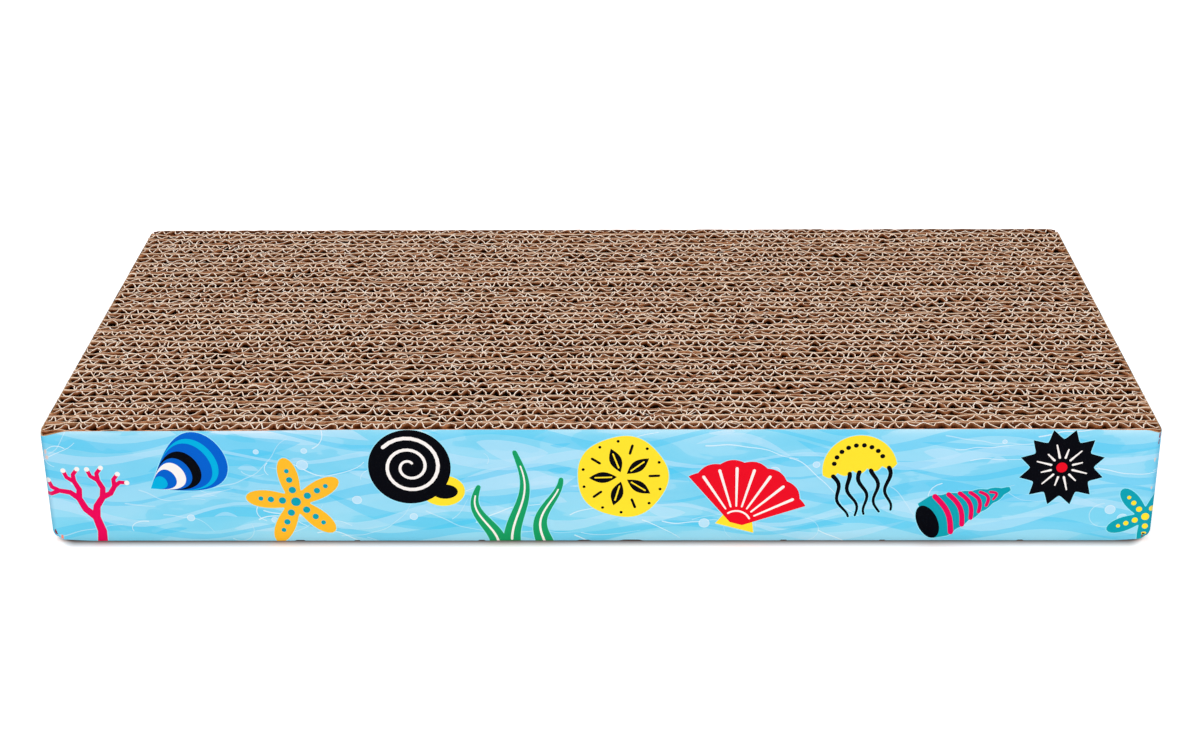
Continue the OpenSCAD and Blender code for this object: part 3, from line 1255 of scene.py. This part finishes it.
def kraft_band():
    """The sleeve's brown board, with painted shade along its lower edge, seen inside the pad and at its seam.
    """
    material, tree, fibre = new_paper("kraft_band", specular=0.2, grain=800.0)
    tone = blend(tree, fibre["Tone"], srgb(176, 128, 84), srgb(198, 150, 104))
    grained = tint(tree, fibre["Flecks"], 0.5, tone, srgb(128, 86, 52))
    # Painted shade near the floor: nearly black below 1.2 mm, fading out by 2.4 mm
    floor_shade_mask = rescale(tree, axis(tree, "Z"), 2.4 * MM, 1.2 * MM, 0.0, 0.96)
    painted_floor_shade = blend(tree, floor_shade_mask, grained, srgb(20, 14, 14))
    return finish(material, painted_floor_shade, fibre["Fibres"], (0.7, 0.9), fibre["Fibres"], 0.3, 0.15 * MM)


def band_edge():
    """The band's cut edge, an orange brown line round the top and bottom, paler along the sides."""
    material, tree, fibre = new_paper("kraft_band_cut_edge", specular=0.1, grain=1300.0)
    patchy = rescale(tree, fibre["Tone"], 0.35, 0.6)
    tone = blend(tree, patchy, srgb(96, 46, 22), srgb(228, 136, 72))
    side_tone = blend(tree, patchy, srgb(70, 46, 32), srgb(202, 168, 138))
    from_middle = maths(tree, "ABSOLUTE", axis(tree, "X"))
    beside = rescale(tree, from_middle, FACING_HIGH.x - 1.4 * MM, FACING_HIGH.x - 1.2 * MM)
    grained = tint(tree, fibre["Fibres"], 0.4, blend(tree, beside, tone, side_tone), srgb(96, 52, 30))
    return finish(material, grained, fibre["Fibres"], (0.8, 0.95), fibre["Fibres"], 0.5, 0.2 * MM)


def printed_paper():
    """Sky blue print in painted washes with the mesh's inks and wear, and painted shade, highlight and light.
    """
    material, tree, fibre = new_paper("printed_paper", specular=0.03, grain=1400.0)
    band = held(tree, "band_place")["Vector"]
    stretched = add(tree, "Mapping", {"Vector": band, "Scale": (14, 46, 1)}).outputs[0]
    wash = clouds(tree, stretched, 1.6, 3.0, Distortion=0.7)
    soft = maths(tree, "MULTIPLY", rescale(tree, wash, 0.36, 0.64), 0.5)
    brushed = maths(tree, "ADD", soft, rescale(tree, wash, 0.485, 0.5, 0.0, 0.5))
    water = blend(tree, brushed, srgb(122, 210, 241), srgb(152, 219, 245))
    ink = held(tree, "ink")
    print_colour = blend(tree, ink["Alpha"], water, ink["Color"])
    dotted = tint(tree, fibre["Flecks"], 0.008, print_colour, srgb(255, 255, 255))
    _, height, below_top = add(tree, "SeparateXYZ", {0: band}).outputs
    # A painted highlight under the top edge, where the rolled edge catches the light
    top_highlight = maths(tree, "POWER", rescale(tree, below_top, 4.5 * MM, 0.6 * MM), 2.0)
    top_highlight = maths(tree, "MULTIPLY", top_highlight, rescale(tree, wash, 0.4, 0.56, 0.5, 1.0))
    highlighted = blend(tree, top_highlight, dotted, (1.45, 1.12, 1.04, 1), kind="MULTIPLY")
    # Painted light on the lower part, lifting the shade that falls there near the floor
    low_down = rescale(tree, height, 22 * MM, 2 * MM)
    painted_light_below = blend(tree, low_down, highlighted, (1.15, 1.11, 1.05, 1), kind="MULTIPLY")
    # Painted shade round the folds, where the band turns away from the light
    fold_shaded = tint(tree, held(tree, "fold_shade")["Fac"], 0.34, painted_light_below, srgb(20, 120, 170))
    rough = clouds(tree, band, 620.0, 4.0, Roughness=0.65)
    rubbed = rescale(tree, maths(tree, "MULTIPLY_ADD", held(tree, "wear")["Fac"], 0.42, rough), 0.76, 0.82)
    pulp = blend(tree, fibre["Fibres"], srgb(226, 214, 206), srgb(172, 108, 78))
    shown = blend(tree, rubbed, fold_shaded, pulp)
    return finish(material, shown, fibre["Tone"], (0.46, 0.6), fibre["Tone"], 0.12, 0.12 * MM)


def paper_edge():
    """The printed paper's own cut edge, white with a blue cast."""
    material, tree, fibre = new_paper("printed_paper_cut_edge", specular=0.2, grain=1400.0)
    tone = blend(tree, fibre["Tone"], srgb(178, 222, 240), srgb(232, 243, 248))
    return finish(material, tone, fibre["Fibres"], (0.7, 0.9))


def dried_glue():
    """Dried white glue, a little yellow and uneven."""
    material, tree, fibre = new_paper("dried_glue", specular=0.4, grain=500.0)
    tone = blend(tree, fibre["Tone"], srgb(196, 178, 148), srgb(226, 216, 194))
    return finish(material, tone, fibre["Fibres"], (0.3, 0.6), fibre["Tone"], 0.3, 0.3 * MM)


# Stage, light and camera

# Half the floor's side, its painted shadow by the pad and paint away from it, how round the shadow's corners
# are
FLOOR_HALF = 20
SHADOW_PAINT = (0.31, 0.245, 0.23, 1)
FLOOR_PAINT = (0.87, 0.78, 0.765, 1)
SHADOW_ROUNDING = 24 * MM
# Each softbox with its place, size and power
SOFTBOXES = (
    ("softbox_above", (-0.25, 0.35, 1.5), 1.0, 11.0),
    ("softbox_front", (0.3, -1.7, 0.9), 1.2, 13.0),
)
CAMERA_PLACE = (0.0091, -0.8438, 0.4133)
CAMERA_PITCH = 24.868
CAMERA_ROLL = 0.337
CAMERA_YAW = 0.524
CAMERA_LENS_MM = 62.765
CAMERA_SENSOR_MM = 36


def cleared_tree(owner):
    owner.use_nodes = True
    owner.node_tree.nodes.clear()
    return owner.node_tree


def seen_rays(tree):
    """1 for rays that the camera, a gloss or glass sends out, and 0 for light from one thing to another."""
    path = add(tree, "LightPath").outputs
    mirrored = maths(tree, "MAXIMUM", path["Is Glossy Ray"], path["Is Transmission Ray"])
    return maths(tree, "MAXIMUM", path["Is Camera Ray"], mirrored)


def beyond_pad(tree):
    """Distance outside the pad's plan, which grows faster past its ends and slower round its corners."""
    squares = []
    for name, half, stretch in (("X", FACING_HIGH.x, 2.5), ("Y", FACING_HIGH.y, 1.0)):
        out = maths(tree, "SUBTRACT", maths(tree, "ABSOLUTE", axis(tree, name)), half)
        out = maths(tree, "MAXIMUM", maths(tree, "MULTIPLY_ADD", out, stretch, SHADOW_ROUNDING), 0.0)
        squares.append(maths(tree, "MULTIPLY", out, out))
    return maths(tree, "SUBTRACT", maths(tree, "SQRT", maths(tree, "ADD", *squares)), SHADOW_ROUNDING)


def floor():
    """A white floor with the pad's shadow and painted shadow beside it, lifted to white where the camera sees
    it.

    It is clear from below, and light passes it under the pad, so that the underside shows too.
    """
    material = bpy.data.materials.new("studio_floor")
    tree = cleared_tree(material)
    seen, beyond = seen_rays(tree), beyond_pad(tree)
    shaded = blend(tree, rescale(tree, beyond, 0, 5 * MM), SHADOW_PAINT, FLOOR_PAINT)
    paint = add(tree, "BsdfDiffuse", {"Color": shaded}).outputs[0]
    lift = maths(tree, "MULTIPLY", seen, rescale(tree, beyond, 0.4, 3.0, 0.46, 0.62))
    lift = maths(tree, "MULTIPLY", lift, rescale(tree, beyond, 0.5 * MM, 5.5 * MM))
    glow = add(tree, "Emission", {"Color": (1, 1, 1, 1), "Strength": lift}).outputs[0]
    lifted = add(tree, "AddShader", {0: paint, 1: glow}).outputs[0]
    under_pad = rescale(tree, beyond, -1 * MM, -2 * MM)
    let_in = maths(tree, "MULTIPLY", maths(tree, "SUBTRACT", 1.0, seen), under_pad)
    clear = maths(tree, "MAXIMUM", add(tree, "NewGeometry").outputs["Backfacing"], let_in)
    glass = add(tree, "BsdfTransparent").outputs[0]
    surface = add(tree, "MixShader", {0: clear, 1: lifted, 2: glass}).outputs[0]
    add(tree, "OutputMaterial", {"Surface": surface})
    bm = bmesh.new()
    bmesh.ops.create_grid(bm, x_segments=1, y_segments=1, size=FLOOR_HALF)
    stage = link("studio_floor", bm, [material])


def set_up(name, data, place, turn):
    """Puts a lamp or the camera in its place."""
    holder = bpy.data.objects.new(name, data)
    holder.location = place
    holder.rotation_euler = turn
    bpy.context.scene.collection.objects.link(holder)
    return holder


def lights():
    """An even white room, brighter where it is seen, and two softboxes turned to the pad."""
    world = bpy.data.worlds.new("studio")
    bpy.context.scene.world = world
    tree = cleared_tree(world)
    strength = rescale(tree, seen_rays(tree), 0, 1, 0.62, 1.0)
    sky = add(tree, "Background", {"Color": (1, 1, 1, 1), "Strength": strength}).outputs[0]
    add(tree, "OutputWorld", {"Surface": sky})
    for name, place, size, power in SOFTBOXES:
        lamp = bpy.data.lights.new(name, "AREA")
        lamp.energy, lamp.size = power, size
        set_up(name, lamp, place, (-Vector(place)).to_track_quat("-Z", "Y").to_euler())


def camera():
    data = bpy.data.cameras.new("photo_camera")
    data.sensor_fit, data.sensor_width, data.lens = "HORIZONTAL", CAMERA_SENSOR_MM, CAMERA_LENS_MM
    data.clip_start, data.clip_end = 0.01, 60
    turn = [radians(angle) for angle in (90 - CAMERA_PITCH, CAMERA_ROLL, CAMERA_YAW)]
    bpy.context.scene.camera = set_up("photo_camera", data, CAMERA_PLACE, turn)


def keep(piece, slot, *nodes):
    """The piece rides on the pad and stands for these nodes. The slot is not used."""
    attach(piece, "root")
    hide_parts(*nodes)


bpy.context.scene.view_settings.view_transform = "Standard"
floor()
lights()
camera()
core_papers = [
    kraft_wall("kraft_liner", srgb(166, 107, 68), srgb(208, 152, 110)),
    cut_edge("liner_cut_edge", srgb(216, 182, 150), srgb(250, 232, 208)),
    kraft_wall("kraft_flute", srgb(160, 99, 60), srgb(202, 144, 100)),
    cut_edge("flute_cut_edge", srgb(242, 214, 188), srgb(255, 251, 242)),
    # The rear liner is painted dark brown as the shade in the gap between the core and the band
    kraft_wall("rear_liner_painted_shade", srgb(60, 40, 30), srgb(108, 76, 56)),
]
for number, strip_name in enumerate(STRIPS):
    keep(corrugated_strip(number, core_papers), "corrugated_core", strip_name)
flakes = torn_flakes([core_papers[3]])
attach(flakes, "root")
glue = dried_glue()
keep(glue_lines([glue]), "glue", "glue_lines")
sleeve_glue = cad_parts["sleeve_glue"]
sleeve_glue.material_slots[0].link = "OBJECT"
sleeve_glue.material_slots[0].material = glue
keep(sleeve_board([kraft_band(), band_edge()]), "kraft_band", "sleeve_board")
keep(printed_facing([printed_paper(), paper_edge()]), "printed_paper", "printed_facing")
